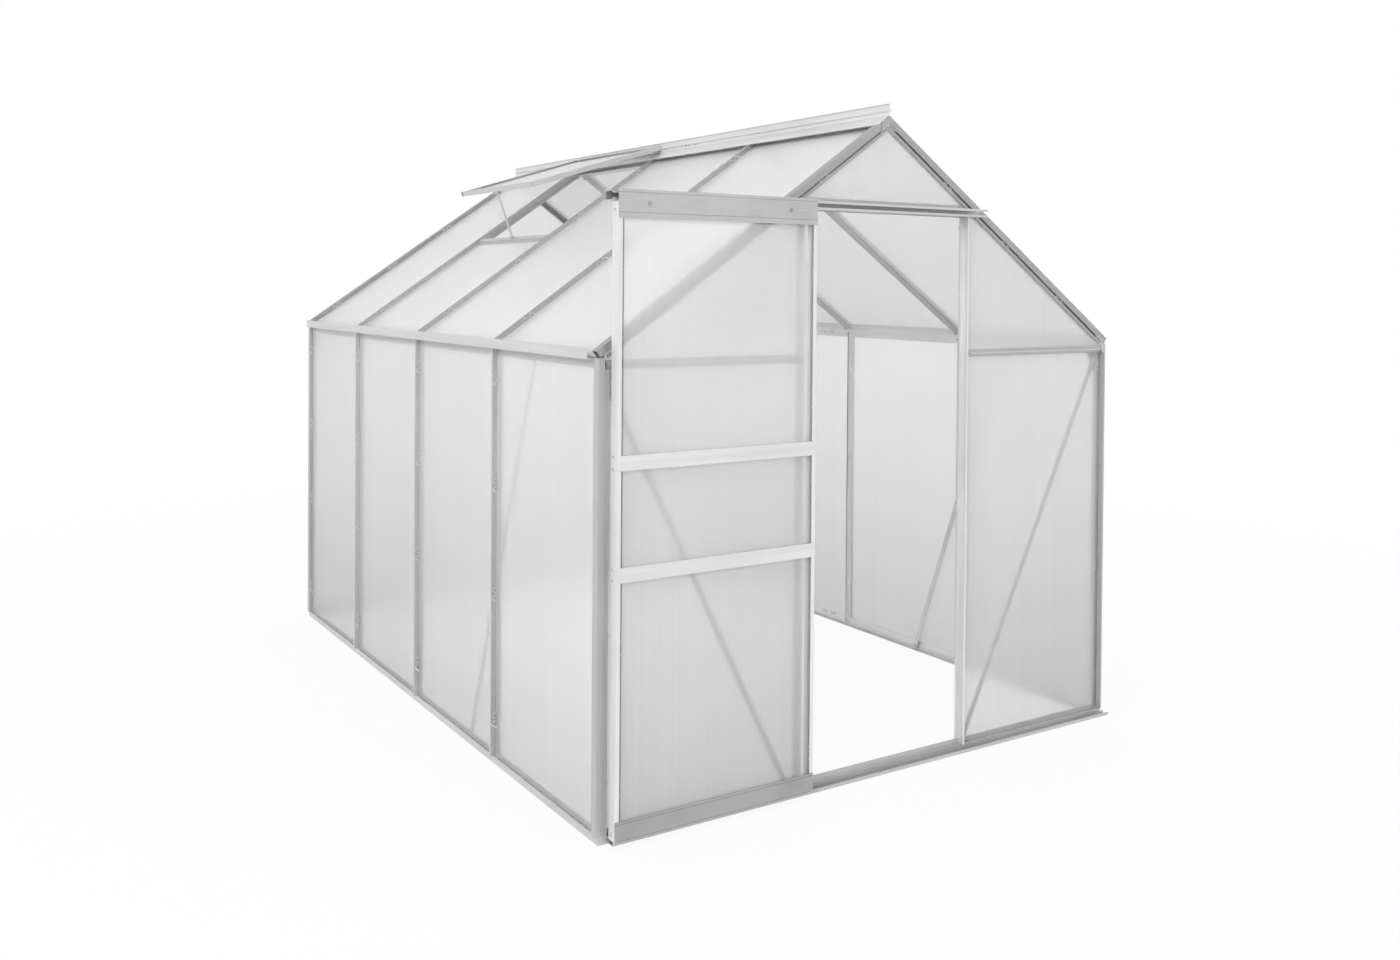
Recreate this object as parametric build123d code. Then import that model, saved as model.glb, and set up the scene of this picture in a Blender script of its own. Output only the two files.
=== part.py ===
from build123d import *
import math
import os

# Small aluminium greenhouse glazed with twin-wall sheet, door slid open to the left.
# Millimetres, +Z up, X across the gable, Y along the ridge, door gable facing -Y.
# Sizes are taken between seat planes, the outer faces of the flanges that panes lie on.

# Building
wall_width = 1880.0
wall_length = 2500.0
eave_height = 1235.0
roof_pitch = 34.5
side_bays = 4
gable_bays = 3
metal = 1.6

# Panes: thickness, play against the seat and play at the edges
pane_thickness = 4.0
seat_play = 0.3
edge_play = 1.5

# Glazing bar: flange behind the panes, fin between them, bolt slot on the inside
flange_width = 26.0
fin_height = 20.0
fin_thickness = 2.4
fin_cap_width = 7.0
slot_width = 12.0
slot_depth = 12.0
slot_mouth = 5.0

# Edge bar, used for corner posts and gable rafters; the front posts carry a lip and a fin beside the door
edge_inward = 14.0
edge_outward = 10.0
post_height = 16.0
rafter_height = 20.0
edge_side_lap = 12.0
edge_gable_lap = 14.0
post_lip_width = 8.0
post_fin_reach = 24.5
post_head_play = 1.2

# Sill
upstand_height = 35.0
ledge_height = 21.0
ledge_reach = 9.0
foot_inward = 20.0

# Floor track in front of the front sill, where the door guides run
floor_track_front = 31.0
floor_track_height = 10.0
floor_track_left_inset = 22.0
floor_track_right_reach = 25.0

# Gutter and roof plate at the eave
eave_plate_depth = 36.0
roof_plate_length = 34.0
gutter_reach = 33.0
gutter_floor_drop = 12.0
gutter_lip_rise = 16.0
gutter_lip_return = 5.0
eave_end_reach = 12.0
trough_end_inset = 19.0
pane_overhang = 12.0

# Ridge
ridge_flange_length = 34.0
ridge_web = 4.0
ridge_rise = 59.0
ridge_cap_width = 13.0
ridge_cover_length = 38.0
bead_radius = 3.5
bead_height = 39.5

# Gable cross bars: the header ends hang under the rafters
header_roof_drop = 5.0
header_height = 24.0
header_flange_rise = 12.0
header_end_reach = 22.5
eave_bar_height = 22.0

# Door track
track_back = 10.0
track_front = 50.0
track_end_reach = 50.0
track_slot_low = 6.0
track_slot_high = 17.0
track_bracket_width = 28.0
track_bracket_height = 20.0

# Door
door_inset = 10.0
door_back = 30.0
door_front = 62.0
door_bottom = 23.0
stile_head_drop = 6.0
top_plate_drop = 38.0
top_plate_rise = 34.0
kick_height = 50.0
mid_rail_height = 38.0
mid_rail_centres = (688.0, 967.0)
rail_box_height = 18.0
rail_box_depth = 14.0
top_box_height = 22.0
stile_front_lip = 12.0
stile_back_lip = 10.0
stile_seat_lip = 16.0
door_seat = 52.0

# Rollers, hangers and floor guides
wheel_radius = 9.5
wheel_width = 8.0
wheel_groove = 1.5
wheel_back = 24.0
wheel_inset = 90.0
axle_radius = 3.0
running_play = 0.3
hanger_width = 30.0
hanger_thickness = 4.4
hanger_height = 28.0
guide_width = 30.0
guide_thickness = 2.2
guide_back = 25.4
guide_arm_height = 8.0
guide_inset = 40.0
guide_floor_play = 4.0
bolt_head_radius = 5.0
bolt_head_height = 2.5

# Vent in the left slope, propped open
vent_bay = 3
vent_length = 545.0
vent_tilt = 17.0
vent_side_cover = 12.0
vent_rail_width = 16.0
vent_rail_height = 18.0
vent_rail_drop = 6.0
vent_sill_from_ridge = 556.0
vent_sill_width = 20.0
vent_sill_height = 13.0
vent_sill_hood = 10.0
vent_hood_lift = 6.0
stay_width = 14.0
stay_thickness = 3.0
stay_knuckle = 5.0

# Braces: flat straps on the inside of the bars
strap_width = 18.0
strap_thickness = 2.0
strap_pad = 20.0
side_brace_top = 400.0
side_brace_foot = 837.0
gable_brace_foot = 24.0
gable_brace_head = 16.0
gable_brace_drop = 28.0
brace_foot_height = 18.0

# Worked out from the sizes above
half_width = wall_width / 2
pitch = math.radians(roof_pitch)
slope_length = half_width / math.cos(pitch)
seat_apex = eave_height + half_width * math.tan(pitch)
side_pitch = wall_length / side_bays
gable_pitch = wall_width / gable_bays
front_reach = door_front + bolt_head_height
back_reach = max(eave_end_reach, fin_height)
front_y = (front_reach - back_reach - wall_length) / 2
back_y = front_y + wall_length
mid_y = front_y + wall_length / 2
gutter_floor = eave_height - gutter_floor_drop
eave_plate_foot = eave_height - eave_plate_depth
eave_bar_centre = eave_plate_foot + eave_bar_height / 2
post_head = eave_height - pane_overhang * math.sin(pitch) - post_head_play
post_places = [(n + 1) * gable_pitch - half_width for n in range(gable_bays - 1)]
bar_places = [front_y + (n + 1) * side_pitch for n in range(side_bays - 1)]
outer_post = max(post_places)
header_box_half = outer_post + header_end_reach
header_flange_half = outer_post - flange_width / 2 - seat_play
header_top = seat_apex - header_box_half * math.tan(pitch) - header_roof_drop
header_bottom = header_top - header_height
slot_inner = -metal - slot_depth
bar_play = fin_thickness / 2 + edge_play
door_left = door_inset - half_width
door_right = door_left + gable_pitch
stile_top = header_bottom - stile_head_drop
door_skin = door_front - metal
wheel_height = header_bottom + metal + running_play + wheel_radius
bead_reach = ridge_web / 2 + bead_radius - metal / 2
vent_sill_place = slope_length - vent_sill_from_ridge
vent_middle = front_y + side_pitch * vent_bay - side_pitch / 2
vent_half = side_pitch / 2 + vent_side_cover


def rect(x0, x1, y0, y1):
    """Rectangle between two corners."""
    return Pos((x0 + x1) / 2, (y0 + y1) / 2) * Rectangle(x1 - x0, y1 - y0)


def shape(*points):
    """Filled outline through the points."""
    return make_face(Polyline(*points, close=True))


def length_of(section, start, end):
    """A section drawn out along its bar, from start to end."""
    return Pos(0, 0, start) * extrude(section, amount=end - start)


def frame_at(origin, along, outward):
    """Bar axes: local Z runs along the bar, local Y points out of the wall."""
    return Plane(origin=origin, x_dir=Vector(*outward).cross(Vector(*along)), z_dir=along)


def wall_frame(side, y):
    """Axes of a bar that stands in a side wall."""
    return frame_at((side * half_width, y, 0), (0, 0, 1), (side, 0, 0))


def roof_frame(side, y):
    """Axes of a bar that runs up a slope from the eave."""
    along = (-side * math.cos(pitch), 0, math.sin(pitch))
    outward = (side * math.sin(pitch), 0, math.cos(pitch))
    return frame_at((side * half_width, y, eave_height), along, outward)


def gable_frame(gable, x):
    """Axes of a bar that stands in a gable, -1 for the front and 1 for the back."""
    return frame_at((x, gable_y(gable), 0), (0, 0, 1), (0, gable, 0))


def gable_y(gable):
    """Seat plane of a gable."""
    return front_y if gable < 0 else back_y


def cross_bar(section, gable, x0, x1):
    """Level bar along a gable: section X points out of the wall, section Y up."""
    place = Plane(origin=((x0 + x1) / 2, gable_y(gable), 0), x_dir=(0, gable, 0), z_dir=(gable, 0, 0))
    return place * extrude(section, amount=(x1 - x0) / 2, both=True)


def side_bar(section, side, run, height):
    """Level bar along a side wall: section X points out of the wall, section Y up."""
    place = Plane(origin=(side * half_width, mid_y, height), x_dir=(side, 0, 0), z_dir=(0, -side, 0))
    return place * extrude(section, amount=run / 2, both=True)


def front_block(x0, x1, w0, w1, z0, z1):
    """Block in front of the door gable, w0 to w1 out from its seat plane."""
    return Pos(0, front_y, 0) * length_of(rect(x0, x1, -w1, -w0), z0, z1)


def roof_height(x):
    """Height of the roof seat plane over a place across the gable."""
    return seat_apex - abs(x) * math.tan(pitch)


def on_slope(side, back, lift):
    """Point of the ridge section: back down the slope, lifted off the seat plane."""
    x = back * math.cos(pitch) + lift * math.sin(pitch)
    return (side * x, lift * math.cos(pitch) - back * math.sin(pitch))


def write(name, *solids):
    """One sub-part, written as its own file."""
    body = solids[0] if len(solids) == 1 else Compound(children=list(solids))
    export_step(body, os.path.join("parts", name + ".step"))


def slot_section():
    """Hollow bolt slot on the inside of a glazing bar, open at its mouth."""
    box = rect(-slot_width / 2, slot_width / 2, slot_inner, -metal)
    bore = rect(-slot_width / 2 + metal, slot_width / 2 - metal, slot_inner + metal, -2 * metal)
    mouth = rect(-slot_mouth / 2, slot_mouth / 2, slot_inner, slot_inner + metal)
    return box - bore - mouth


def fin_section():
    """Fin that stands out between two panes, with its cap."""
    fin = rect(-fin_thickness / 2, fin_thickness / 2, 0, fin_height)
    cap = rect(-fin_cap_width / 2, fin_cap_width / 2, fin_height - metal, fin_height)
    return fin + cap


def glazing_bar(flange, fin, slot):
    """Bar whose flange stops short so that its slot and fin lap the plates at the ends."""
    plate = rect(-flange_width / 2, flange_width / 2, -metal, 0)
    return length_of(plate, *flange) + length_of(fin_section(), *fin) + length_of(slot_section(), *slot)


def edge_bar(height, box, flanges, hand):
    """Hollow edge bar with one lap for the wall or roof panes and one for the gable panes.

    Local Y points out of the wall or roof, and hand turns local X out of the gable.
    """
    outer = rect(-edge_inward, edge_outward, 0, height)
    bore = rect(-edge_inward + metal, edge_outward - metal, metal, height - metal)
    side_lap = rect(-edge_inward - edge_side_lap, metal - edge_inward, -metal, 0)
    gable_lap = rect(-metal, 0, -edge_gable_lap, 0)
    bar = length_of(outer - bore, *box) + length_of(side_lap + gable_lap, *flanges)
    return bar if hand > 0 else mirror(bar, Plane.YZ)


def corner_post(side, gable):
    """Corner post; at the front a lip covers the pane edge and a fin stands out beside the door."""
    hand = -side * gable
    post = edge_bar(post_height, (ledge_height, post_head), (upstand_height, eave_plate_foot), hand)
    if gable < 0:
        lip = rect(edge_outward - metal, edge_outward, -post_lip_width, 0)
        fin = rect(edge_outward - metal, post_fin_reach, -post_lip_width, metal - post_lip_width)
        beside = length_of(lip + fin, ledge_height, eave_plate_foot)
        post += beside if hand > 0 else mirror(beside, Plane.YZ)
    return wall_frame(side, gable_y(gable)) * post


def sill_section():
    """Sill: upstand behind the panes, ledge under them, skirt and foot."""
    upstand = rect(-metal, 0, 0, upstand_height)
    ledge = rect(0, ledge_reach, ledge_height - metal, ledge_height)
    skirt = rect(ledge_reach - metal, ledge_reach, 0, ledge_height)
    foot = rect(-foot_inward, ledge_reach, 0, metal)
    return upstand + ledge + skirt + foot


def mitred_sill(run, origin, outward):
    """One side of the base, mitred at both ends."""
    solid = extrude(sill_section(), amount=run / 2 + ledge_reach, both=True)
    far = Plane(origin=(0, 0, run / 2), z_dir=(-1, 0, 1))
    near = Plane(origin=(0, 0, -run / 2), z_dir=(1, 0, 1))
    solid = split(split(solid, bisect_by=far, keep=Keep.BOTTOM), bisect_by=near, keep=Keep.TOP)
    along = Vector(*outward).cross(Vector(0, 0, 1))
    return Plane(origin=origin, x_dir=outward, z_dir=along) * solid


def eave_section():
    """Eave bar: plate behind the wall panes and plate under the roof panes."""
    slope = Vector(-math.cos(pitch), math.sin(pitch)) * roof_plate_length
    under = slope - Vector(math.sin(pitch), math.cos(pitch)) * metal
    corner = -metal * (1 - math.sin(pitch)) / math.cos(pitch)
    plate = rect(-metal, 0, -eave_plate_depth, 0)
    return plate + shape((0, 0), (slope.X, slope.Y), (under.X, under.Y), (-metal, corner), (0, corner))


def trough_section():
    """Open trough that stands out from the eave bar."""
    floor = rect(0, gutter_reach, -gutter_floor_drop, metal - gutter_floor_drop)
    wall = rect(gutter_reach - metal, gutter_reach, -gutter_floor_drop, gutter_lip_rise)
    turned = rect(gutter_reach - gutter_lip_return, gutter_reach, gutter_lip_rise - metal, gutter_lip_rise)
    return floor + wall + turned


def ridge_bar():
    """Ridge: flanges under the roof panes, web with cap and hinge beads, covers that lie on the fins."""
    tip = on_slope(1, ridge_flange_length, 0)
    under = on_slope(1, ridge_flange_length, -metal)
    section = shape((0, 0), tip, under, (0, -metal / math.cos(pitch)), (-under[0], under[1]),
                    (-tip[0], tip[1]))
    section += rect(-ridge_web / 2, ridge_web / 2, -metal, ridge_rise)
    section += rect(-ridge_cap_width / 2, ridge_cap_width / 2, ridge_rise - metal, ridge_rise)
    cover_top = fin_height + metal
    for side in (-1, 1):
        section += Pos(side * bead_reach, bead_height) * Circle(bead_radius)
        section += shape(on_slope(side, -fin_height * math.tan(pitch), fin_height),
                         on_slope(side, ridge_cover_length, fin_height),
                         on_slope(side, ridge_cover_length, cover_top),
                         on_slope(side, -cover_top * math.tan(pitch), cover_top))
    place = Plane(origin=(0, mid_y, seat_apex), x_dir=(1, 0, 0), z_dir=(0, -1, 0))
    return place * extrude(section, amount=wall_length / 2 + edge_outward, both=True)


def gable_pane(gable, x0, x1, z0, z1):
    """Gable pane between two bars, cut to the slope where it meets the roof."""
    clear = (metal + edge_play) / math.cos(pitch)
    field = shape((-half_width, 0), (half_width, 0), (half_width, eave_height - clear),
                  (0, seat_apex - clear), (-half_width, eave_height - clear))
    seat = gable_y(gable) + gable * seat_play
    place = Plane(origin=(0, seat, 0), x_dir=(-gable, 0, 0), z_dir=(0, gable, 0))
    return place * extrude(field & rect(x0, x1, z0, z1), amount=pane_thickness)


def bay_edges(places, low, high, low_play, high_play):
    """Low and high edge of the pane in each bay between the bars."""
    lows = [low + low_play] + [place + bar_play for place in places]
    highs = [place - bar_play for place in places] + [high - high_play]
    return list(zip(lows, highs))


def strap(start, end, start_pad, end_pad):
    """Flat brace in its own plane, with a spacer under an end that laps a plate."""
    run = Vector(*end) - Vector(*start)
    middle = (Vector(*end) + Vector(*start)) * 0.5
    turn = math.degrees(math.atan2(run.Y, run.X))
    bar = extrude(Pos(middle.X, middle.Y) * Rot(0, 0, turn) * SlotCenterToCenter(run.length, strap_width),
                  amount=strap_thickness)
    for place, padded in ((start, start_pad), (end, end_pad)):
        if padded:
            bar += extrude(Pos(*place) * Circle(strap_pad / 2), amount=-slot_depth)
    return bar


os.makedirs("parts", exist_ok=True)

# Base
write("sill_left", mitred_sill(wall_length, (-half_width, mid_y, 0), (-1, 0, 0)))
write("sill_right", mitred_sill(wall_length, (half_width, mid_y, 0), (1, 0, 0)))
write("sill_front", mitred_sill(wall_width, (0, front_y, 0), (0, -1, 0)))
write("sill_back", mitred_sill(wall_width, (0, back_y, 0), (0, 1, 0)))
floor_track = (rect(ledge_reach, floor_track_front, 0, metal)
               + rect(ledge_reach, ledge_reach + metal, 0, floor_track_height)
               + rect(floor_track_front - metal, floor_track_front, 0, floor_track_height))
write("floor_track", cross_bar(floor_track, -1, floor_track_left_inset - half_width,
                               half_width + floor_track_right_reach))

# Corner posts and gable rafters
for gable, end in ((-1, "front"), (1, "back")):
    write("corner_posts_" + end, *[corner_post(side, gable) for side in (-1, 1)])
    rafters = [roof_frame(side, gable_y(gable)) * edge_bar(
        rafter_height, (-pane_overhang, slope_length - ridge_web / 2 / math.cos(pitch)),
        (roof_plate_length, slope_length - ridge_flange_length), -side * gable) for side in (-1, 1)]
    write("gable_rafters_" + end, *rafters)

# Wall bars, roof bars, gutters and ridge
cover_line = slope_length - ridge_cover_length / 4
wall_bar = glazing_bar((upstand_height, eave_plate_foot), (ledge_height, gutter_floor),
                       (metal, eave_height - slot_depth))
roof_bar = glazing_bar((roof_plate_length, slope_length - ridge_flange_length),
                       (-pane_overhang, cover_line),
                       (slot_depth + metal, slope_length - slot_depth - edge_gable_lap / 2))
for side, name in ((-1, "left"), (1, "right")):
    write("wall_bars_" + name, *[wall_frame(side, y) * wall_bar for y in bar_places])
    write("roof_bars_" + name, *[roof_frame(side, y) * roof_bar for y in bar_places])
    write("gutter_" + name,
          side_bar(eave_section(), side, wall_length + 2 * eave_end_reach, eave_height)
          + side_bar(trough_section(), side, wall_length - 2 * trough_end_inset, eave_height))
write("ridge", ridge_bar())

# Door posts stop under the door header, back posts run up to the roof
door_post = glazing_bar((upstand_height, header_bottom), (ledge_height, header_bottom),
                        (metal, header_bottom))
write("door_posts", *[gable_frame(-1, x) * door_post for x in post_places])
lap_edge = edge_gable_lap / math.cos(pitch)
back_post = glazing_bar(
    (upstand_height, roof_height(outer_post + flange_width / 2) - lap_edge),
    (ledge_height, roof_height(outer_post + fin_cap_width / 2)),
    (metal, roof_height(outer_post + slot_width / 2) - 2 * metal / math.cos(pitch)))
write("back_posts", *[gable_frame(1, x) * back_post for x in post_places])

# Door header with the flange that the apex pane sits on
header_box = rect(slot_inner, -metal, header_bottom, header_top)
header_bore = rect(slot_inner + metal, -2 * metal, header_bottom + metal, header_top - metal)
header_flange = rect(-metal, 0, header_bottom, header_top + header_flange_rise)
write("door_header", cross_bar(header_box - header_bore, -1, -header_box_half, header_box_half)
      + cross_bar(header_flange, -1, -header_flange_half, header_flange_half))

# Eave bars of the gables, whose boxes run on behind the flanges of the posts
eave_low = eave_plate_foot
eave_high = eave_low + eave_bar_height
eave_flange = rect(-metal, 0, eave_low, eave_high)
eave_fin = rect(0, fin_height, eave_bar_centre - fin_thickness / 2, eave_bar_centre + fin_thickness / 2)
eave_box = rect(slot_inner, -metal, eave_low, eave_high) - rect(
    slot_inner + metal, -2 * metal, eave_low + metal, eave_high - metal)
wall_inside = half_width - metal
fin_limit = half_width - post_lip_width - seat_play
post_lap = (flange_width - slot_width) / 2


def eave_bar(gable, x0, x1, low_lap, high_lap):
    """Eave bar between two posts, its fin cut back beside the lip of a corner post."""
    box = cross_bar(eave_box, gable, x0 - low_lap * post_lap, x1 + high_lap * post_lap)
    fin = cross_bar(eave_fin, gable, max(x0, -fin_limit), min(x1, fin_limit))
    return box + cross_bar(eave_flange, gable, x0, x1) + fin


near_edge = outer_post - flange_width / 2
far_edge = outer_post + flange_width / 2
for gable, end in ((-1, "front"), (1, "back")):
    bars = [eave_bar(gable, -wall_inside, -far_edge, 0, 1), eave_bar(gable, far_edge, wall_inside, 1, 0)]
    if gable > 0:
        bars.append(eave_bar(gable, -near_edge, near_edge, 1, 1))
    write("eave_bars_" + end, *bars)

# Panes of the walls and slopes
pane_low = seat_play
pane_high = seat_play + pane_thickness
bays = bay_edges(bar_places, front_y, back_y, edge_inward + edge_play, edge_inward + edge_play)


def bay_pane(place, edges, start, end, turn):
    """Flat pane in one bay of a wall or slope."""
    low, high = sorted((turn * edges[0], turn * edges[1]))
    return place * length_of(rect(low, high, pane_low, pane_high), start, end)


for side, name in ((-1, "left"), (1, "right")):
    write("panes_wall_" + name, *[bay_pane(wall_frame(side, 0), edges, ledge_height + edge_play,
                                           gutter_floor - edge_play, -side) for edges in bays])
    roof = []
    for number, edges in enumerate(bays, 1):
        vented = side < 0 and number == vent_bay
        top = vent_sill_place - edge_play if vented else cover_line
        roof.append(bay_pane(roof_frame(side, 0), edges, -pane_overhang, top, -side))
    write("panes_roof_" + name, *roof)

# Panes of the gables
inner_wall = wall_inside - edge_play
columns = bay_edges(post_places, -inner_wall, inner_wall, 0, 0)
low_row = (ledge_height + edge_play, eave_bar_centre - bar_play)
sides = [columns[0], columns[-1]]
front = [gable_pane(-1, *column, *low_row) for column in sides]
front += [gable_pane(-1, *column, eave_bar_centre + bar_play, header_top) for column in sides]
front.append(gable_pane(-1, -half_width, half_width, header_top + edge_play, seat_apex))
write("panes_gable_front", *front)
back = [gable_pane(1, *column, *low_row) for column in columns]
back += [gable_pane(1, *column, eave_bar_centre + bar_play, seat_apex) for column in columns]
write("panes_gable_back", *back)

# Braces
strap_top = eave_height - eave_plate_depth / 2
left_strap = Plane(origin=(-half_width - slot_inner, front_y, 0), x_dir=(0, 1, 0), z_dir=(1, 0, 0)) * strap(
    (side_brace_top, strap_top), (side_brace_foot, brace_foot_height), True, True)
write("brace_left", left_strap)
write("brace_right", mirror(left_strap, Plane.YZ))
for gable, end in ((-1, "front"), (1, "back")):
    inside = gable_y(gable) + gable * slot_inner
    place = Plane(origin=(0, inside, 0), x_dir=(gable, 0, 0), z_dir=(0, -gable, 0))
    foot = (outer_post + gable_brace_foot, brace_foot_height)
    head = (half_width - gable_brace_head, eave_plate_foot - gable_brace_drop)
    one = place * strap(foot, head, True, True)
    write("braces_" + end, one, mirror(one, Plane.YZ))

# Door track and its brackets
track = (rect(track_back, track_back + metal, header_bottom, header_top)
         + rect(track_back, track_front, header_bottom, header_bottom + metal)
         + rect(track_back, track_front, header_top - metal, header_top)
         + rect(track_front - metal, track_front, header_bottom, header_bottom + track_slot_low)
         + rect(track_front - metal, track_front, header_bottom + track_slot_high, header_top))
write("door_track", cross_bar(track, -1, -half_width, outer_post + track_end_reach))
bracket_low = header_bottom + (header_height - track_bracket_height) / 2
write("track_brackets", *[front_block(x0, x0 + track_bracket_width, 0, track_back, bracket_low,
                                      bracket_low + track_bracket_height)
                          for x0 in (-header_flange_half, header_flange_half - track_bracket_width)])

# Door frame
stile = (rect(0, metal, -door_skin, -door_back) + rect(0, stile_front_lip, -door_skin, metal - door_skin)
         + rect(0, stile_back_lip, -door_back - metal, -door_back)
         + rect(0, stile_seat_lip, -door_seat, metal - door_seat))
left_stile = Pos(0, front_y, 0) * length_of(Pos(door_left, 0) * stile, door_bottom, stile_top)
middle_of_door = Plane.YZ.offset((door_left + door_right) / 2)
write("door_stile_left", left_stile)
write("door_stile_right", mirror(left_stile, middle_of_door))
rail_left = door_left + stile_seat_lip
rail_right = door_right - stile_seat_lip


def door_rail(plate_low, plate_high, box_low, box_high, box_back):
    """Door rail: plate over the front of the stiles, hollow box between them."""
    plate = cross_bar(rect(door_skin, door_front, plate_low, plate_high), -1, door_left, door_right)
    outer = rect(box_back, door_skin, box_low, box_high)
    bore = rect(box_back + metal, door_skin - metal, box_low + metal, box_high - metal)
    return plate + cross_bar(outer - bore, -1, rail_left, rail_right)


kick_top = door_bottom + top_box_height
top_box_low = stile_top - top_box_height
write("door_top_rail", door_rail(stile_top - top_plate_drop, stile_top + top_plate_rise,
                                 top_box_low, stile_top, door_back))
write("door_kick_rail", door_rail(door_bottom, door_bottom + kick_height, door_bottom, kick_top, door_back))
write("door_mid_rails", *[door_rail(z - mid_rail_height / 2, z + mid_rail_height / 2, z - rail_box_height / 2,
                                    z + rail_box_height / 2, door_skin - rail_box_depth)
                          for z in mid_rail_centres])
pane_edges = [kick_top] + [z + sign * rail_box_height / 2 for z in mid_rail_centres for sign in (-1, 1)]
pane_edges.append(top_box_low)
door_pane_side = metal + edge_play
write("door_panes", *[front_block(door_left + door_pane_side, door_right - door_pane_side,
                                  door_seat + seat_play, door_seat + seat_play + pane_thickness,
                                  low + edge_play, high - edge_play)
                      for low, high in zip(pane_edges[::2], pane_edges[1::2])])

# Rollers, hangers and floor guides of the door
wheel_front = wheel_back + wheel_width
wheel_middle = wheel_back + wheel_width / 2
hanger_back = door_skin - hanger_thickness
wheel_outline = shape((wheel_back, 0), (wheel_back, wheel_radius),
                      (wheel_middle - wheel_groove, wheel_radius),
                      (wheel_middle, wheel_radius - wheel_groove),
                      (wheel_middle + wheel_groove, wheel_radius),
                      (wheel_front, wheel_radius), (wheel_front, axle_radius),
                      (hanger_back, axle_radius), (hanger_back, 0))
wheel = revolve(wheel_outline, axis=Axis.X, revolution_arc=360)
wheel_places = (door_left + wheel_inset, door_right - wheel_inset)
write("door_rollers", *[Plane(origin=(x, front_y, wheel_height), x_dir=(0, -1, 0), z_dir=(-1, 0, 0)) * wheel
                        for x in wheel_places])
hangers = [front_block(x - hanger_width / 2, x + hanger_width / 2, hanger_back, door_skin, stile_top,
                       stile_top + hanger_height) for x in wheel_places]
heads = [Plane(origin=(x, front_y - door_front, stile_top), x_dir=(1, 0, 0), z_dir=(0, -1, 0))
         * extrude(Circle(bolt_head_radius), amount=bolt_head_height) for x in wheel_places]
write("door_hangers", *hangers, *heads)
guide_arm_low = door_bottom + metal
tongue = rect(guide_back, guide_back + guide_thickness, guide_floor_play, guide_arm_low + guide_arm_height)
arm = rect(guide_back, door_back, guide_arm_low, guide_arm_low + guide_arm_height)
guide_places = (door_left + guide_inset, door_right - guide_inset)
write("door_guides", *[cross_bar(tongue + arm, -1, x - guide_width / 2, x + guide_width / 2)
                       for x in guide_places])

# Vent: frame hung from the ridge bead, pane, opening sill and stay
tilt = math.radians(vent_tilt)
vent_down = (-math.cos(tilt), 0, -math.sin(tilt))
vent_out = (-math.sin(tilt), 0, math.cos(tilt))
vent_hinge = (-bead_reach - bead_radius * math.cos(tilt), vent_middle,
              seat_apex + bead_height - bead_radius * math.sin(tilt))
vent = frame_at(vent_hinge, vent_down, vent_out)
vent_low = -vent_rail_drop
vent_high = vent_rail_height - vent_rail_drop


def vent_rail_section():
    """Vent rail with its outer face at x = 0 and its laps towards negative x."""
    return (rect(-metal, 0, vent_low, vent_high)
            + rect(-vent_rail_width, 0, vent_high - metal, vent_high)
            + rect(-vent_rail_width, 0, -metal, 0)
            + rect(-vent_rail_width / 2, 0, vent_low, vent_low + metal))


side_rail = Pos(vent_half, 0, 0) * length_of(vent_rail_section(), 0, vent_length)
write("vent_side_rails", vent * side_rail, vent * mirror(side_rail, Plane.YZ))
end_half = vent_half - vent_rail_width
head_rail = Plane(origin=(0, 0, 0), x_dir=(0, 0, -1), z_dir=(1, 0, 0)) * extrude(
    vent_rail_section(), amount=end_half, both=True)
tail_rail = Pos(0, 0, vent_length) * mirror(head_rail, Plane.XY)
write("vent_top_rail", vent * head_rail)
write("vent_bottom_rail", vent * tail_rail)
vent_pane_edge = vent_half - metal - edge_play
write("vent_pane", vent * length_of(rect(-vent_pane_edge, vent_pane_edge, pane_low, pane_high),
                                    metal + edge_play, vent_length - metal - edge_play))

vent_sill_section = (rect(0, vent_sill_width, 0, vent_sill_height)
                     - rect(metal, vent_sill_width - metal, metal, vent_sill_height - metal)
                     + rect(-vent_sill_hood, metal, vent_hood_lift, vent_hood_lift + metal))
slope_up = (math.cos(pitch), 0, math.sin(pitch))
slope_out = (-math.sin(pitch), 0, math.cos(pitch))
eave_line = Vector(-half_width, vent_middle, eave_height)
sill_origin = eave_line + Vector(*slope_up) * vent_sill_place
vent_sill_half = side_pitch / 2 - fin_thickness / 2
write("vent_sill", Plane(origin=sill_origin, x_dir=slope_up, z_dir=(0, -1, 0)) * extrude(
    vent_sill_section, amount=vent_sill_half, both=True))

stay_foot = (sill_origin + Vector(*slope_up) * (vent_sill_width / 2)
             + Vector(*slope_out) * (vent_sill_height + stay_knuckle))
stay_head = (Vector(*vent_hinge) + Vector(*vent_down) * (vent_length - vent_rail_width / 4)
             + Vector(*vent_out) * (vent_low - stay_knuckle))
stay_run = stay_head - stay_foot
stay_place = Plane(origin=stay_foot, x_dir=(0, 1, 0), z_dir=stay_run.normalized())
stay = stay_place * length_of(Rectangle(stay_width, stay_thickness), 0, stay_run.length)
for place in (stay_foot, stay_head):
    pin = Plane(origin=place, z_dir=(0, 1, 0)) * Circle(stay_knuckle)
    stay += extrude(pin, amount=stay_width / 2, both=True)
write("vent_stay", stay)
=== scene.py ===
import math

import bmesh
import bpy
from mathutils import Matrix, Vector


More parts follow.
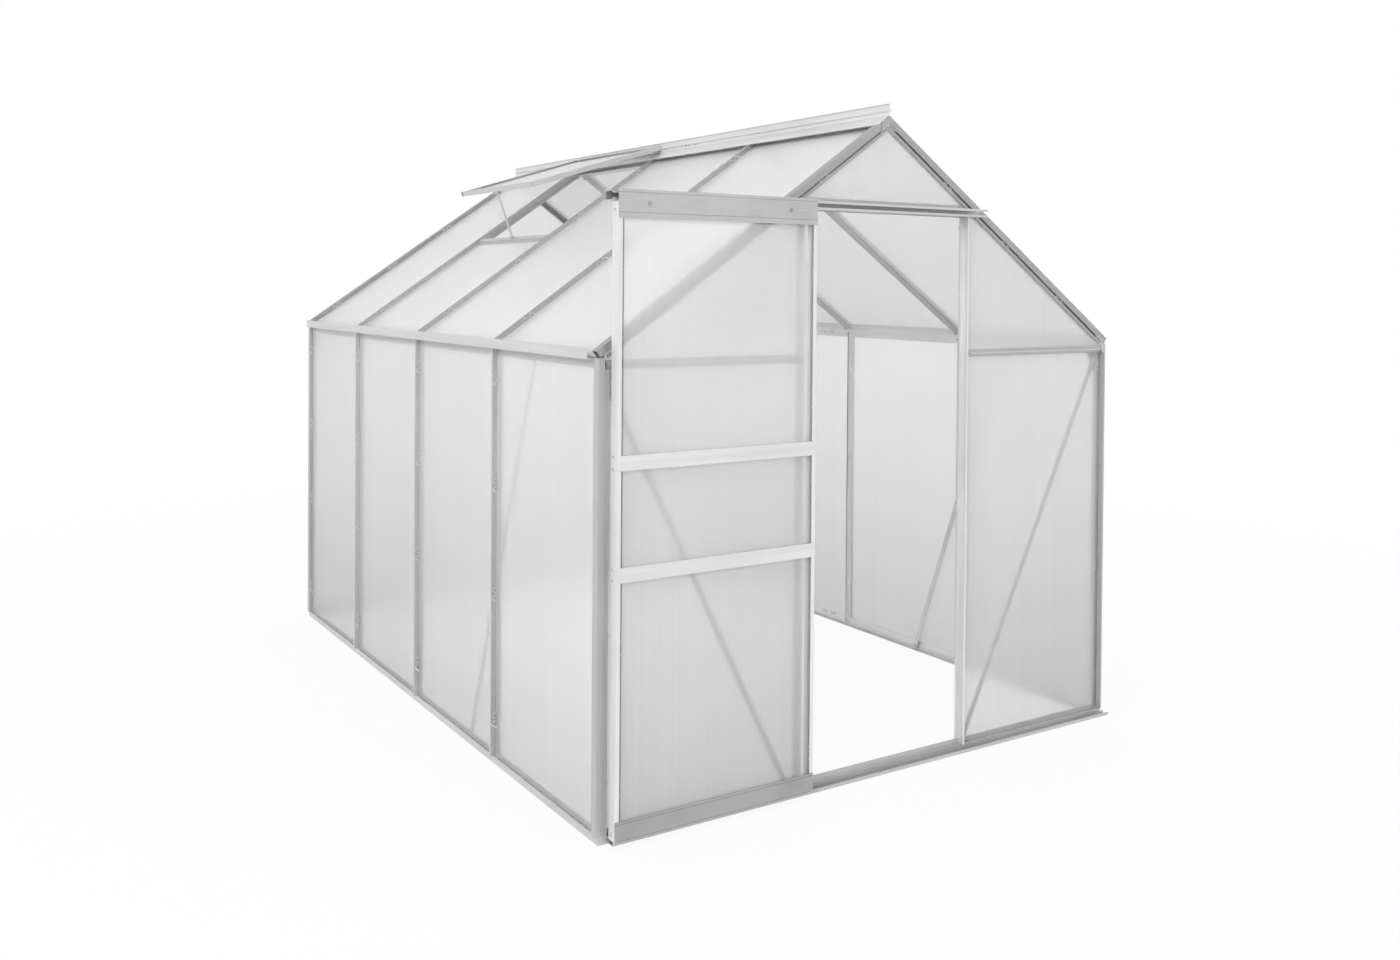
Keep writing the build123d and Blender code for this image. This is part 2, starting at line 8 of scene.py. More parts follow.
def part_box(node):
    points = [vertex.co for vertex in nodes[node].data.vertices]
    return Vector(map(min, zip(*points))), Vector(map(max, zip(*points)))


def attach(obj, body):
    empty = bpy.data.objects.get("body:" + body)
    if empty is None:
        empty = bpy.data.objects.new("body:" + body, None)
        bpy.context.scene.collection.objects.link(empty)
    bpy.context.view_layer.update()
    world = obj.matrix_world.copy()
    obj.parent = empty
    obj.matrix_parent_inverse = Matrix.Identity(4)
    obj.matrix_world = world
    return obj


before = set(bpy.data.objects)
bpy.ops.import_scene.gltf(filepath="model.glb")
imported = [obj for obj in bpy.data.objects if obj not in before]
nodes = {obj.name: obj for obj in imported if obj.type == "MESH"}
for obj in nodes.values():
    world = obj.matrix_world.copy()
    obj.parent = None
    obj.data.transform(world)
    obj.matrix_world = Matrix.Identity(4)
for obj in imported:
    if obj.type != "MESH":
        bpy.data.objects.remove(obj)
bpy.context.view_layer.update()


# Base: four sills of extruded aluminium, mitred at the corners, and the floor track of the door that is
# screwed along the front one. The bars keep their mill finish, with the fine lines that the die draws.
class Value:
    """One shader socket: arithmetic on it adds Math nodes, and node() adds any other node."""

    def __init__(self, socket):
        self.socket = socket
        self.tree = socket.id_data

    def node(self, kind, settings=None, inputs=None, out=0):
        made = self.tree.nodes.new("ShaderNode" + kind)
        for name, value in (settings or {}).items():
            if name == "stops":
                for stop, (place, colour) in zip(made.color_ramp.elements, value):
                    stop.position, stop.color = place, colour
            else:
                setattr(made, name, value)
        for name, value in (inputs or {}).items():
            socket = made.inputs[name]
            if isinstance(value, Value):
                self.tree.links.new(value.socket, socket)
            else:
                socket.default_value = value
        return Value(made.outputs[out])

    def maths(self, operation, *others):
        return self.node("Math", {"operation": operation}, dict(enumerate((self,) + others)))

    def __add__(self, other):
        return self.maths("ADD", other)

    def __sub__(self, other):
        return self.maths("SUBTRACT", other)

    def __mul__(self, other):
        return self.maths("MULTIPLY", other)

    def __truediv__(self, other):
        return self.maths("DIVIDE", other)

    def __rsub__(self, other):
        return self * -1 + other

    __radd__ = __add__
    __rmul__ = __mul__


def new_finish(name):
    """Empty material with its Principled shader, and the place on the piece as a Value."""
    finish = bpy.data.materials.new(name)
    finish.use_nodes = True
    shader = finish.node_tree.nodes["Principled BSDF"]
    place = Value(finish.node_tree.nodes.new("ShaderNodeTexCoord").outputs["Object"])
    return finish, shader, place


def connect(shader, **sockets):
    """Values and links of a shader, by socket name with _ for a space."""
    for name, value in sockets.items():
        socket = shader.inputs[name.replace("_", " ")]
        if isinstance(value, Value):
            shader.id_data.links.new(value.socket, socket)
        else:
            socket.default_value = value


def along_run(place, direction):
    """How far a place lies along a direction, in metres."""
    return place.node("VectorMath", {"operation": "DOT_PRODUCT"}, {0: place, 1: direction}, out=1)


def drawn_out(place, along, stretch):
    """Place with its length along the bar shrunk, so that a texture draws out into lines."""
    run = along_run(place, along) * (1 - 1 / stretch)
    back = place.node("VectorMath", {"operation": "SCALE"}, {0: along, "Scale": run})
    return place.node("VectorMath", {"operation": "SUBTRACT"}, {0: place, 1: back})


def noise(place, scale, detail=2.0):
    return place.node("TexNoise", {}, {"Vector": place, "Scale": scale, "Detail": detail})


def grey(level):
    return (level, level, level * 1.01, 1.0)


def shaded(mark, *stops):
    """Grey that follows a mark, from (mark, level) pairs."""
    return mark.node("ValToRGB", {"stops": [(place, grey(level)) for place, level in stops]}, {"Fac": mark})


def raised(height, strength, depth):
    """Normal of a surface raised by a height between 0 and 1, depth metres at the most."""
    return height.node("Bump", {}, {"Height": height, "Strength": strength, "Distance": depth})


def aluminium(name, along, tone):
    """Aluminium as it leaves the die: lines and bands drawn out along a direction, and faint clouds."""
    finish, shader, place = new_finish(name)
    lines = noise(drawn_out(place, along, stretch=300), scale=700)
    bands = noise(drawn_out(place, along, stretch=25), scale=60)
    cloud = noise(place, scale=5, detail=4)
    colour = shaded(bands * 0.6 + cloud * 0.4, (0.3, tone * 0.92), (0.7, tone * 1.07))
    connect(shader, Base_Color=colour, Metallic=0.75, Roughness=0.36 + 0.2 * cloud + 0.08 * lines,
            Normal=raised(lines, strength=0.25, depth=0.0002))
    return finish


def dress(names, finish):
    """Puts a finish on CAD pieces that keep their own shape."""
    for name in names:
        nodes[name].data.materials.clear()
        nodes[name].data.materials.append(finish)


upright = (0, 0, 1)
across_gable = (1, 0, 0)
along_ridge = (0, 1, 0)
# The right-hand sill is painted lighter than the left, as painted light for the shade it lies in on the far
# side, seen from inside the house.
dress(["sill_left"], aluminium("sill_left", along_ridge, tone=0.62))
dress(["sill_right"], aluminium("sill_right", along_ridge, tone=0.74))
dress(["sill_front", "sill_back"], aluminium("sill_gable", across_gable, tone=0.6))
dress(["floor_track"], aluminium("floor_track", across_gable, tone=0.57))


# Posts and wall bars: extruded bars with a fin between the panes and a bolt slot on the inside. Each is
# bolted to the sill at its foot and to the eave bar at its head, with a nut on the inside.
wall_half = 0.94
wall_length = 2.5
bay_length = 0.625
front_y = -1.22775
back_y = front_y + wall_length
gables = ((front_y, -1), (back_y, 1))
bar_places = [front_y + n * bay_length for n in (1, 2, 3)]
door_post_x = wall_half / 3
slot_back = 0.0136
foot_bolt = 0.026
head_bolt = 1.215
gable_head_bolt = 1.59
dress(["corner_posts_front", "corner_posts_back"], aluminium("corner_posts", upright, tone=0.53))
# The copy for the right-hand wall bars and the door posts is painted lighter, as painted light for the shade
# they lie in inside the house.
dress(["wall_bars_left", "back_posts"], aluminium("upright_bars", upright, tone=0.63))
dress(["wall_bars_right", "door_posts"], aluminium("upright_bars_painted_lighter", upright, tone=0.78))


def plated_steel(name, tone):
    """Zinc-plated steel of wire, nuts and screws, a little mottled."""
    finish, shader, place = new_finish(name)
    cloud = noise(place, scale=400, detail=3)
    connect(shader, Base_Color=shaded(cloud, (0.35, tone * 0.8), (0.65, tone * 1.1)), Metallic=1.0,
            Roughness=0.28 + 0.2 * cloud)
    return finish


def make_piece(name, shapes, finish, body):
    """One object of (points, faces) shapes in metres, riding on a CAD body."""
    points, faces = [], []
    for shape_points, shape_faces in shapes:
        start = len(points)
        points += shape_points
        faces += [[start + n for n in face] for face in shape_faces]
    mesh = bpy.data.meshes.new(name)
    mesh.from_pydata(points, [], faces)
    shell = bmesh.new()
    shell.from_mesh(mesh)
    bmesh.ops.recalc_face_normals(shell, faces=shell.faces)
    shell.to_mesh(mesh)
    shell.free()
    mesh.polygons.foreach_set("use_smooth", [True] * len(mesh.polygons))
    mesh.set_sharp_from_angle(angle=math.radians(35))
    mesh.materials.append(finish)
    piece = bpy.data.objects.new(name, mesh)
    bpy.context.scene.collection.objects.link(piece)
    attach(piece, body)


def skinned(rings, caps):
    """Shape through rings with the same number of places, closed at the rings named by caps."""
    count = len(rings[0])
    faces = [(ring * count + n, ring * count + (n + 1) % count,
              (ring + 1) * count + (n + 1) % count, (ring + 1) * count + n)
             for ring in range(len(rings) - 1) for n in range(count)]
    faces += [tuple(cap % len(rings) * count + n for n in range(count)) for cap in caps]
    return [place for ring in rings for place in ring], faces


def circle(place, axis, radius, sides, height=0.0):
    """Ring of places round an axis, at a height along it."""
    turn = Vector(axis).to_track_quat("Z", "Y").to_matrix()
    return [Vector(place) + turn @ Vector((radius * math.cos(math.tau * n / sides),
                                           radius * math.sin(math.tau * n / sides), height))
            for n in range(sides)]


def turned(place, axis, profile, sides):
    """Shape turned round an axis at a place, from (radius, height) pairs that end at its top."""
    return skinned([circle(place, axis, radius, sides, height) for radius, height in profile], caps=[-1])


nut_profile = ((0.0056, 0.0), (0.0056, 0.0036), (0.0049, 0.0042))
bolt_end_profile = ((0.003, 0.0), (0.003, 0.0066), (0.0024, 0.0072))


def nut(place, axis):
    """Hexagon nut with the end of its bolt."""
    return [turned(place, axis, nut_profile, sides=6), turned(place, axis, bolt_end_profile, sides=10)]


steel = plated_steel("plated_steel", tone=0.6)
shapes = []
for side in (-1, 1):
    for y in bar_places:
        for height in (foot_bolt, head_bolt):
            shapes += nut((side * (wall_half - slot_back), y, height), (-side, 0, 0))
    for height in (foot_bolt, gable_head_bolt):
        for gable_y, outward in gables:
            shapes += nut((side * door_post_x, gable_y - outward * slot_back, height), (0, -outward, 0))
make_piece("post_nuts", shapes, steel, "house")


# Gutters and gable bars: the gutter is one extrusion with the eave bar, and the cross bars of the gables
# are bolted between the posts under cover strips. Long bars are joined from two lengths by four screws.
# The right-hand gutter is painted lighter than the left, as painted light for the shade on the far side.
dress(["gutter_left"], aluminium("gutter_left", along_ridge, tone=0.66))
dress(["gutter_right"], aluminium("gutter_right", along_ridge, tone=0.8))
dress(["eave_bars_front", "eave_bars_back"], aluminium("gable_bars", across_gable, tone=0.68))


def extruded(profile, start, end):
    """Shape of a closed profile of places, moved from start to end."""
    return skinned([[place + start for place in profile], [place + end for place in profile]], caps=[0, -1])


strip_section = ((0.0046, 1.1990), (0.0080, 1.1990), (0.0080, 1.2004), (0.0060, 1.2004), (0.0060, 1.2196),
                 (0.0080, 1.2196), (0.0080, 1.2210), (0.0046, 1.2210))
post_gap = 0.0032
middle_strip = (post_gap - door_post_x, door_post_x - post_gap)
side_strip = (door_post_x + post_gap, 0.9305)
shapes = []
for gable_y, outward in gables:
    profile = [Vector((0, gable_y + outward * out, height)) for out, height in strip_section]
    strips = [sorted(-x for x in side_strip), side_strip]
    if outward > 0:
        strips.insert(1, middle_strip)
    for start, end in strips:
        shapes.append(extruded(profile, Vector((start, 0, 0)), Vector((end, 0, 0))))
cover_finish = aluminium("cover_strips", across_gable, tone=0.55)
make_piece("gable_cover_strips", shapes, cover_finish, "house")

pan_profile = ((0.0040, 0.0), (0.0040, 0.0010), (0.0034, 0.0019), (0.0018, 0.0022), (0.0016, 0.0010),
               (0.0004, 0.0008))


def pan_head(place, axis):
    """Pan-head screw with the socket that drives it."""
    return turned(place, axis, pan_profile, sides=12)


joint_offsets = (-0.039, -0.020, 0.020, 0.039)
ridge_joint_y = -0.199
ridge_web_half = 0.002
ridge_screw_height = 1.914
plate_inside = wall_half - 0.0016
gutter_joint_behind = 0.025
gutter_bolt = 1.216
shapes = []
for side, sill_joint_y in ((-1, -0.241), (1, 0.144)):
    for offset in joint_offsets:
        shapes.append(pan_head((side * ridge_web_half, ridge_joint_y + offset, ridge_screw_height),
                               (side, 0, 0)))
        shapes += nut((side * plate_inside, sill_joint_y + offset, foot_bolt), (-side, 0, 0))
        shapes += nut((side * plate_inside, sill_joint_y + gutter_joint_behind + offset, gutter_bolt),
                      (-side, 0, 0))
make_piece("splice_screws", shapes, steel, "house")


# Roof bars, rafters and ridge: the same bars, run up the slopes and bolted under the ridge, whose tall
# web carries the bead for the vent. Mitred strips and an apex plate trim the rafters of each gable.
slope = math.radians(34.5)
slope_length = wall_half / math.cos(slope)
eave_height = 1.235
roof_bolts = (0.024, slope_length - 0.03)


def up_slope(side):
    return Vector((-side * math.cos(slope), 0, math.sin(slope)))


def off_slope(side):
    return Vector((side * math.sin(slope), 0, math.cos(slope)))


def roof_place(side, y, run, lift):
    """Place on a slope: run up from the eave and lift off the seat plane."""
    return Vector((side * wall_half, y, eave_height)) + up_slope(side) * run + off_slope(side) * lift


# The right-hand roof bars are painted lighter than the left, as painted light for the shade on the far side.
dress(["roof_bars_left"], aluminium("roof_bars_left", tuple(up_slope(-1)), tone=0.55))
dress(["roof_bars_right"], aluminium("roof_bars_right", tuple(up_slope(1)), tone=0.7))
rafter_finish = aluminium("rafters", tuple(up_slope(-1)), tone=0.42)
dress(["gable_rafters_front", "gable_rafters_back"], rafter_finish)
dress(["ridge"], aluminium("ridge", along_ridge, tone=0.76))
shapes = []
for side in (-1, 1):
    for y in bar_places:
        for run in roof_bolts:
            shapes += nut(roof_place(side, y, run, -slot_back), -off_slope(side))
make_piece("roof_nuts", shapes, steel, "house")

apex_height = 1.904
apex_depth = 0.0215
apex_half = 0.030
rafter_face = 0.010
plate_back = 0.0003
plate_front = 0.0018
strip_foot = 0.006
strip_corners = ((0.0046, -0.006), (0.0078, -0.006), (0.0078, -0.015), (0.0046, -0.015))
shapes = []
for gable_y, outward in gables:
    outline = [Vector((x, gable_y + outward * rafter_face, apex_height - abs(x) * math.tan(slope) - drop))
               for x, drop in ((-apex_half, 0), (0, 0), (apex_half, 0), (apex_half, apex_depth),
                               (0, apex_depth), (-apex_half, apex_depth))]
    shapes.append(extruded(outline, Vector((0, outward * plate_back, 0)),
                           Vector((0, outward * plate_front, 0))))
for gable_y, outward in gables:
    for side in (-1, 1):
        foot, mitre = [], []
        for out, lift in strip_corners:
            y = gable_y + outward * out
            foot.append(roof_place(side, y, strip_foot, lift))
            mitre.append(roof_place(side, y, (wall_half + math.sin(slope) * lift) / math.cos(slope), lift))
        shapes.append(skinned([foot, mitre], caps=[0, -1]))
make_piece("rafter_strips_and_apex_plates", shapes, rafter_finish, "house")


# Braces: flat aluminium straps bolted across the inside of the end bays, and a sheet gusset that
# stiffens each corner between post and gable bar.
strap_back = 0.0156
side_strap_bolts = ((0.4, 1.217), (0.625, 0.600), (0.837, 0.018))
gable_strap_bolts = ((door_post_x + 0.024, 0.018), (0.924, 1.171))
strap_finish = aluminium("straps", upright, tone=0.66)
dress(["brace_left", "brace_right", "braces_front", "braces_back"], strap_finish)
shapes = []
for side in (-1, 1):
    for reach, height in side_strap_bolts:
        shapes += nut((side * (wall_half - strap_back), front_y + reach, height), (-side, 0, 0))
    for x, height in gable_strap_bolts:
        for gable_y, outward in gables:
            shapes += nut((side * x, gable_y - outward * strap_back, height), (0, -outward, 0))
make_piece("strap_nuts", shapes, steel, "house")

gusset_outline = ((0.006, 1.199), (0.045, 1.199), (0.045, 1.190), (0.014, 1.132), (0.006, 1.132))
gusset_front = 0.0142
shapes = []
for side in (-1, 1):
    outline = [Vector((side * (wall_half - inward), 0, height)) for inward, height in gusset_outline]
    for gable_y, outward in gables:
        shapes.append(extruded(outline, Vector((0, gable_y - outward * gusset_front, 0)),
                               Vector((0, gable_y - outward * strap_back, 0))))
make_piece("corner_gussets", shapes, strap_finish, "house")


# Panes: 4 mm milky twin-wall sheet, two thin skins joined by ribs that run up the wall or slope. The ribs
# show as faint lines, and the colour of the sheet is made a little darker towards the foot of the walls.
rib_pitch = 0.006
darkening_height = 1.5


def twin_wall(name, across, top_tone, darkening):
    """Fluted sheet, whose colour is a given tone high up and is made darker by a given amount at the ground.
    """
    finish, shader, place = new_finish(name)
    flute = along_run(place, across) / rib_pitch
    rib = ((flute.maths("FRACT") - 0.5).maths("ABSOLUTE") * 2).maths("POWER", 6)
    number = flute.maths("FLOOR")
    chance = number.node("TexWhiteNoise", {"noise_dimensions": "1D"}, {"W": number})
    cloud = noise(place, scale=3, detail=3)
    # The colour is made darker towards the ground, less and less up to a set height.
    ground_darkening = (1 - along_run(place, upright) / darkening_height).maths("MAXIMUM", 0)
    tone = top_tone + 0.03 * chance + 0.03 * rib + 0.04 * cloud - darkening * ground_darkening * ground_darkening
    tone = tone.maths("MINIMUM", 0.97)
    colour = tone.node("CombineColor", {}, {"Red": tone, "Green": tone, "Blue": tone})
    connect(shader, Base_Color=colour, Roughness=0.28, Transmission_Weight=0.75, IOR=1.22,
            Normal=raised(1 - rib, strength=0.3, depth=0.0003))
    tree = finish.node_tree
    shadow_ray = Value(tree.nodes.new("ShaderNodeLightPath").outputs["Is Shadow Ray"])
    clear = shadow_ray.node("BsdfTransparent", {}, {"Color": grey(0.95)})
    mixed = shadow_ray.node("MixShader", {}, {0: shadow_ray * 0.95, 1: Value(shader.outputs[0]), 2: clear})
    tree.links.new(mixed.socket, tree.nodes["Material Output"].inputs["Surface"])
    return finish


# The sheets are one material in four copies whose tones differ as painted light and shade: lightest on the
# roof and door, darkest on the gables.
dress(["panes_wall_left", "panes_wall_right"],
      twin_wall("sheet_sides", along_ridge, top_tone=0.885, darkening=0.22))
dress(["panes_roof_left", "panes_roof_right", "vent_pane"],
      twin_wall("sheet_roof", along_ridge, top_tone=0.93, darkening=0.04))
dress(["panes_gable_front", "panes_gable_back"],
      twin_wall("sheet_gables", across_gable, top_tone=0.86, darkening=0.12))
dress(["door_panes"], twin_wall("sheet_door", across_gable, top_tone=0.92, darkening=0.18))


# Glazing clips: springs of plated wire bent to a W. The bends catch under the cap of a bar, and the ends
# and the middle press the pane on to its seat.
def wire(path, radius=0.0012, sides=5, steps=4):
    """Round wire along a smooth line through the points."""
    line = []
    last = len(path) - 1
    for n in range(last):
        before, start, end, after = path[max(n - 1, 0)], path[n], path[n + 1], path[min(n + 2, last)]
        for step in range(steps):
            t = step / steps
            line.append(0.5 * (2 * start + (end - before) * t
                               + (2 * before - 5 * start + 4 * end - after) * t ** 2
                               + (3 * start - before - 3 * end + after) * t ** 3))
    line.append(path[-1])
    last = len(line) - 1
    return skinned([circle(place, (line[min(n + 1, last)] - line[max(n - 1, 0)]).normalized(), radius, sides)
                    for n, place in enumerate(line)], caps=[0, -1])


clip_rest = 0.0056
# The clip wire is a brighter copy of the plated steel: its raised tone is painted glint, so that the clips
# read as bright lines.
spring_steel_painted_glint = plated_steel("spring_steel_painted_glint", tone=0.85)


def clip(place, along, across, outward, hook, under=0.0022, reach=0.014, half=0.024):
    """W clip at a pane edge: across points from the bar on to the pane. The bends stand at the height hook
    and lie under from the bar, the ends rest on the pane at reach, and half is half the length of the W."""
    place, along, across, outward = (Vector(v) for v in (place, along, across, outward))
    bends = ((-1.0, reach, clip_rest), (-0.5, under, hook), (0.0, reach * 0.7, clip_rest), (0.5, under, hook),
             (1.0, reach, clip_rest))
    return wire([place + along * (run * half) + across * out + outward * lift for run, out, lift in bends])


fin_half = 0.0012
fin_hook = 0.0172
edge_bar_inward = 0.014
corner_hook = 0.013
wall_clip_heights = (0.13, 0.50, 0.82, 1.13)
shapes = []
for side in (-1, 1):
    for height in wall_clip_heights:
        for y in bar_places:
            for turn in (-1, 1):
                shapes.append(clip((side * wall_half, y + turn * fin_half, height), upright, (0, turn, 0),
                                   (side, 0, 0), fin_hook))
        for gable_y, outward in gables:
            shapes.append(clip((side * wall_half, gable_y - outward * edge_bar_inward, height), upright,
                               (0, -outward, 0), (side, 0, 0), corner_hook))
make_piece("wall_clips", shapes, spring_steel_painted_glint, "house")

roof_edge_hook = 0.017
roof_clip_runs = (0.12, 0.42, 0.72, 1.02)
vent_bay = 3
vent_foot_run = 0.5
shapes = []
for side in (-1, 1):
    for run in roof_clip_runs:
        for number, y in enumerate(bar_places, 1):
            for turn in (-1, 1):
                bay = number + (turn > 0)
                if not (side < 0 and bay == vent_bay and run > vent_foot_run):
                    shapes.append(clip(roof_place(side, y + turn * fin_half, run, 0), up_slope(side),
                                       (0, turn, 0), off_slope(side), fin_hook))
        for gable_y, outward in gables:
            shapes.append(clip(roof_place(side, gable_y - outward * edge_bar_inward, run, 0), up_slope(side),
                               (0, -outward, 0), off_slope(side), roof_edge_hook))
make_piece("roof_clips", shapes, spring_steel_painted_glint, "house")

front_lip_x = 0.932
back_lip_x = 0.937
lip_hook = 0.007
rafter_hook = 0.008
rafter_clip_runs = (0.25, 0.55, 0.85)
gable_top_clip_heights = (1.32, 1.52)
shapes = []
for side in (-1, 1):
    for height in wall_clip_heights + gable_top_clip_heights:
        shapes.append(clip((side * (door_post_x + fin_half), front_y, height), upright, (side, 0, 0),
                           (0, -1, 0), fin_hook))
        for turn in (-1, 1):
            shapes.append(clip((side * door_post_x + turn * fin_half, back_y, height), upright, (turn, 0, 0),
                               (0, 1, 0), fin_hook))
        if height < eave_height:
            shapes.append(clip((side * front_lip_x, front_y, height), upright, (-side, 0, 0), (0, -1, 0),
                               lip_hook, under=-0.004))
            shapes.append(clip((side * back_lip_x, back_y, height), upright, (-side, 0, 0), (0, 1, 0),
                               lip_hook))
    for run in rafter_clip_runs:
        for gable_y, outward in gables:
            shapes.append(clip(roof_place(side, gable_y, run, 0), up_slope(side), -off_slope(side),
                               (0, outward, 0), rafter_hook))
make_piece("gable_clips", shapes, spring_steel_painted_glint, "house")


# Roof vent: a frame of light angle bars round one pane, hung on the bead of the ridge. A flat stay with a
# pin at each end props it open over its own sill.
dress(["vent_side_rails", "vent_stay"], aluminium("vent_sides", tuple(up_slope(-1)), tone=0.62))
dress(["vent_top_rail", "vent_bottom_rail", "vent_sill"], aluminium("vent_rails", along_ridge, tone=0.62))
stay_low, stay_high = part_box("vent_stay")
stay_middle_y = (stay_low[1] + stay_high[1]) / 2
pin_inset = 0.005
pin_out = 0.007
pin_profile = ((0.0038, 0.0), (0.0038, 0.0012), (0.0022, 0.0022))
shapes = []
for x, height in ((stay_high[0] - pin_inset, stay_low[2] + pin_inset),
                  (stay_low[0] + pin_inset, stay_high[2] - pin_inset)):
    for turn in (-1, 1):
        shapes.append(turned((x, stay_middle_y + turn * pin_out, height), (0, turn, 0), pin_profile, sides=12))
make_piece("stay_pins", shapes, steel, "house")


# Door track and header: box bar over the doorway with the slotted track bolted in front of it, in which
# the wheels of the door run. The track runs on past the gable to carry the door when it is open.
dress(["door_header", "track_brackets"], aluminium("header", across_gable, tone=0.38))
dress(["door_track"], aluminium("door_track", across_gable, tone=0.62))


# Door frame: channel stiles, light rails between them and two broad plates of pressed sheet, painted
# darker than the bars: partly a duller sheet, partly painted shade for the shaded floor that the kick plate
# reflects. Pan-head screws hold the rails through the stiles, and rubber beads and wire clips the panes.
def pressed_sheet(name, tone, shaded_lines):
    """Rolled sheet with lines pressed along it at the named heights, its colour painted darker along each line
    as painted shade in the crease.
    """
    finish, shader, place = new_finish(name)
    grain = noise(drawn_out(place, across_gable, stretch=40), scale=500)
    cloud = noise(place, scale=6, detail=4)
    height = along_run(place, upright)
    shaded_line_half = 0.0014
    flat = 1
    for shaded_line in shaded_lines:
        flat = ((height - shaded_line) / shaded_line_half).maths("ABSOLUTE").maths("MINIMUM", 1) * flat
    # The colour is darkened along each pressed line: painted shade in the crease.
    mark = (0.25 + 0.2 * grain + 0.3 * cloud) * (0.45 + 0.55 * flat)
    connect(shader, Base_Color=shaded(mark, (0.2, tone * 0.5), (0.52, tone * 1.03)), Metallic=0.75,
            Roughness=0.42 + 0.15 * cloud, Normal=raised(flat + 0.05 * grain, strength=0.5, depth=0.0008))
    return finish


door_left = -0.93
door_right = door_left + 2 * door_post_x
top_plate_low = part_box("door_top_rail")[0][2]
top_plate_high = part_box("door_top_rail")[1][2]
top_shaded_lines = (top_plate_low + 0.014, top_plate_high - 0.008)
# The kick plate's lines are painted shade: the upper one for the shade under its top edge, the lower one for
# the shadow of the gap above the floor track.
kick_shade_lines = (0.0665, 0.0238)
dress(["door_stile_left", "door_stile_right"], aluminium("door_stiles", upright, tone=0.8))
dress(["door_top_rail"], pressed_sheet("top_plate", tone=0.54, shaded_lines=top_shaded_lines))
# The kick plate's low tone is painted shade for the shaded floor it reflects.
dress(["door_kick_rail"], pressed_sheet("kick_plate", tone=0.42, shaded_lines=kick_shade_lines))
dress(["door_mid_rails"], aluminium("door_rails", across_gable, tone=0.76))
dress(["door_hangers"], aluminium("hangers", upright, tone=0.4))
rail_screw_heights = (0.036, 0.674, 0.702, 0.951, 0.983, 1.598)
rail_screw_depth = 0.043
shapes = []
for x, side in ((door_left, -1), (door_right, 1)):
    for height in rail_screw_heights:
        shapes.append(pan_head((x, front_y - rail_screw_depth, height), (side, 0, 0)))
make_piece("door_screws", shapes, steel, "door")


def moulded(name, level, roughness, scale, depth):
    """Rubber or plastic with the fine grain of its mould."""
    finish, shader, place = new_finish(name)
    grain = noise(place, scale)
    connect(shader, Base_Color=grey(level), Roughness=roughness + 0.2 * grain,
            Normal=raised(grain, strength=0.2, depth=depth))
    return finish


stile_width = 0.016
bead_foot = 0.0735
bead_section = ((0.0, 0.0566), (0.0016, 0.0566), (0.0022, 0.0574), (0.0016, 0.0586), (0.0, 0.0590))
# The beads' dark grey is partly painted shade: it also draws the shade line between stile and pane.
rubber = moulded("grey_rubber", level=0.3, roughness=0.6, scale=1200, depth=0.0002)
shapes = []
for x, side in ((door_left + stile_width, 1), (door_right - stile_width, -1)):
    profile = [Vector((x + side * out, front_y - depth, 0)) for out, depth in bead_section]
    shapes.append(extruded(profile, Vector((0, 0, bead_foot)), Vector((0, 0, top_plate_low))))
make_piece("door_beads", shapes, rubber, "door")

stile_slot = 0.012
door_seat = 0.052
door_clip_heights = (0.14, 0.34, 0.52, 0.80, 1.08, 1.28, 1.45)
shapes = []
for x, side in ((door_left + stile_slot, 1), (door_right - stile_slot, -1)):
    for height in door_clip_heights:
        shapes.append(clip((x, front_y - door_seat, height), upright, (side, 0, 0), (0, -1, 0), clip_rest,
                           under=-0.005, reach=0.006, half=0.034))
make_piece("door_clips", shapes, spring_steel_painted_glint, "door")


# Wheels and floor guides: black nylon, turned for the wheels that run in the track and moulded for the
# guides that slide along the floor track.
nylon = moulded("black_nylon", level=0.02, roughness=0.45, scale=900, depth=0.0003)
dress(["door_rollers", "door_guides"], nylon)


# Studio: white floor that keeps a soft shadow near the house, white surroundings, one broad lamp from the
# left, and a camera that stands in front of the open door's corner, nearly level, at chest height.
scene = bpy.context.scene
scene.view_settings.view_transform = "Standard"
scene.cycles.transparent_max_bounces = 16
floor_reach = 60.0
floor_mesh = bpy.data.meshes.new("floor")
floor_corners = [(x * floor_reach, y * floor_reach, 0) for x, y in ((-1, -1), (1, -1), (1, 1), (-1, 1))]
floor_mesh.from_pydata(floor_corners, [], [(0, 1, 2, 3)])
floor = bpy.data.objects.new("floor", floor_mesh)
scene.collection.objects.link(floor)


def seen_directly(tree):
    """1 where a camera, glossy or transmission ray looks, and 0 for the light itself."""
    path = tree.nodes.new("ShaderNodeLightPath")
    seen = Value(path.outputs["Is Camera Ray"])
    for ray in ("Is Glossy Ray", "Is Transmission Ray"):
        seen = seen.maths("MAXIMUM", Value(path.outputs[ray]))
    return seen


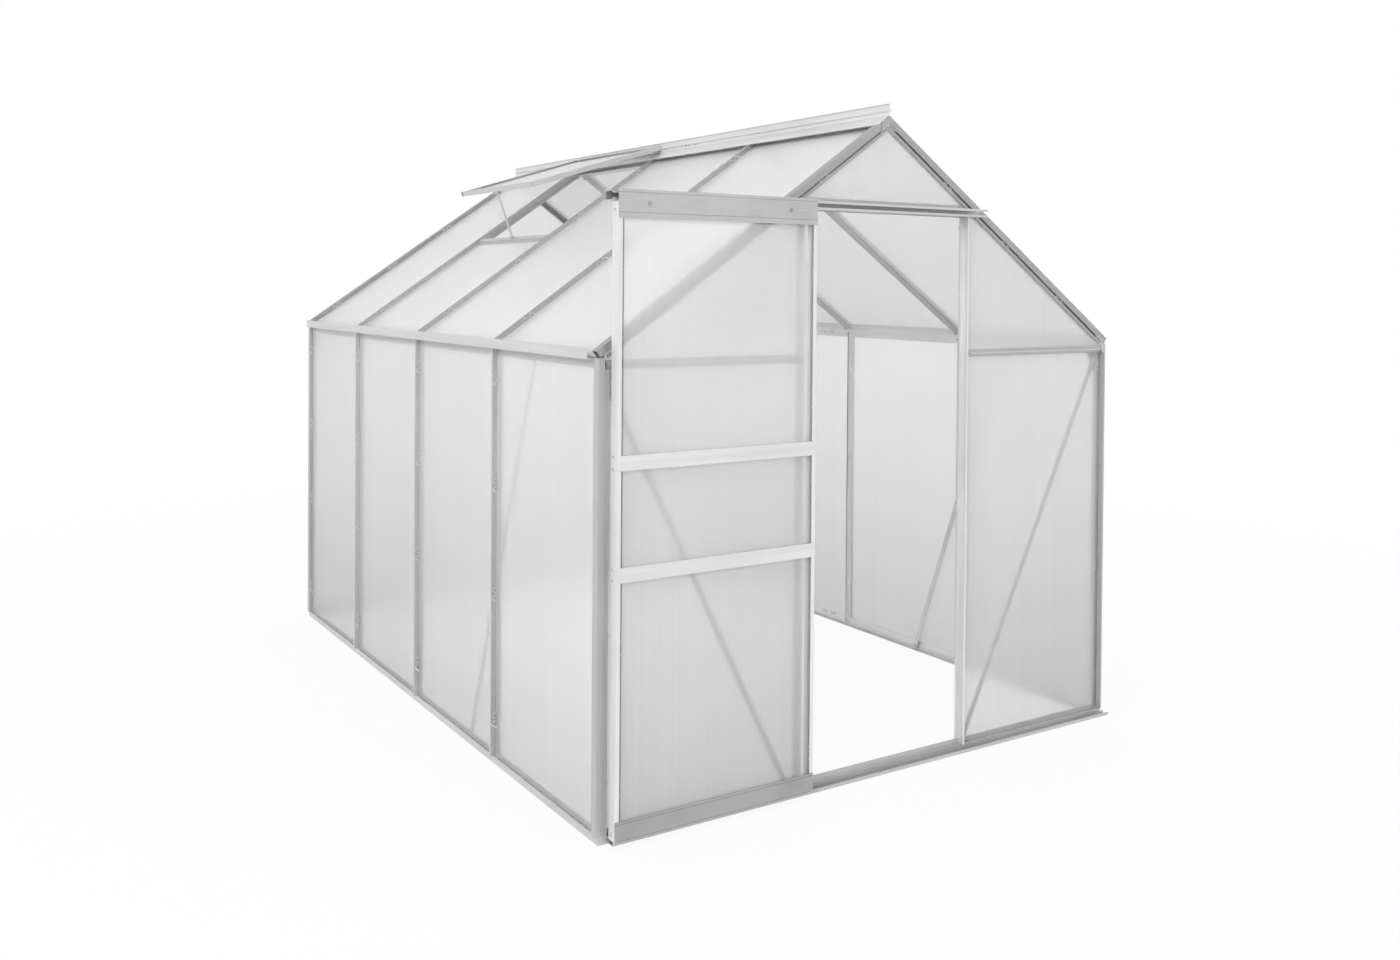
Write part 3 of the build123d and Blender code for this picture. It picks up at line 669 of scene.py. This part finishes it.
shadow_reach = 2.2
shadow_fade = 3.0
ground, ground_shader, ground_place = new_finish("pale_floor")
connect(ground_shader, Base_Color=(0.86, 0.86, 0.86, 1), Roughness=0.9)
seen = seen_directly(ground.node_tree)
white = seen.node("Emission", {}, {"Color": (1, 1, 1, 1), "Strength": 1.0})
distance = ground_place.node("VectorMath", {"operation": "LENGTH"}, {0: ground_place}, out=1)
far = ((distance - shadow_reach) / shadow_fade).maths("MAXIMUM", 0).maths("MINIMUM", 1)
lit = Value(ground_shader.outputs[0])
shadowed = seen.node("MixShader", {}, {0: seen * (0.9 + 0.1 * far), 1: lit, 2: white})
ground.node_tree.links.new(shadowed.socket, ground.node_tree.nodes["Material Output"].inputs["Surface"])
floor_mesh.materials.append(ground)

fill_level = 0.96
world = bpy.data.worlds.new("surroundings")
scene.world = world
world.use_nodes = True
background = world.node_tree.nodes["Background"]
background.inputs["Color"].default_value = (1, 1, 1, 1)
strength = fill_level + (1 - fill_level) * seen_directly(world.node_tree)
world.node_tree.links.new(strength.socket, background.inputs["Strength"])

lamp_data = bpy.data.lights.new("left_light", "AREA")
lamp_data.shape = "SQUARE"
lamp_data.size = 4
lamp_data.energy = 270
lamp = bpy.data.objects.new("left_light", lamp_data)
lamp.location = (-7, -5, 5)
lamp.rotation_euler = (Vector((0, 0, 1)) - lamp.location).to_track_quat("-Z", "Y").to_euler()
scene.collection.objects.link(lamp)

photo_width = 1400
photo_height = 960
turn_right = 0.55504
look_up = -0.01275
roll = -0.00722
focal_pixels = 1244.9
centre_column = 660.0
centre_row = 300.0
camera_data = bpy.data.cameras.new("camera")
camera_data.sensor_width = 36
camera_data.lens = focal_pixels / photo_width * camera_data.sensor_width
camera_data.shift_x = (photo_width / 2 - centre_column) / photo_width
camera_data.shift_y = -(photo_height / 2 - centre_row) / photo_width
camera = bpy.data.objects.new("camera", camera_data)
camera.location = (-2.4626, -3.9567, 1.4130)
camera.rotation_euler = (Matrix.Rotation(-turn_right, 3, "Z") @ Matrix.Rotation(math.pi / 2 + look_up, 3, "X")
                         @ Matrix.Rotation(-roll, 3, "Z")).to_euler()
scene.collection.objects.link(camera)
scene.camera = camera
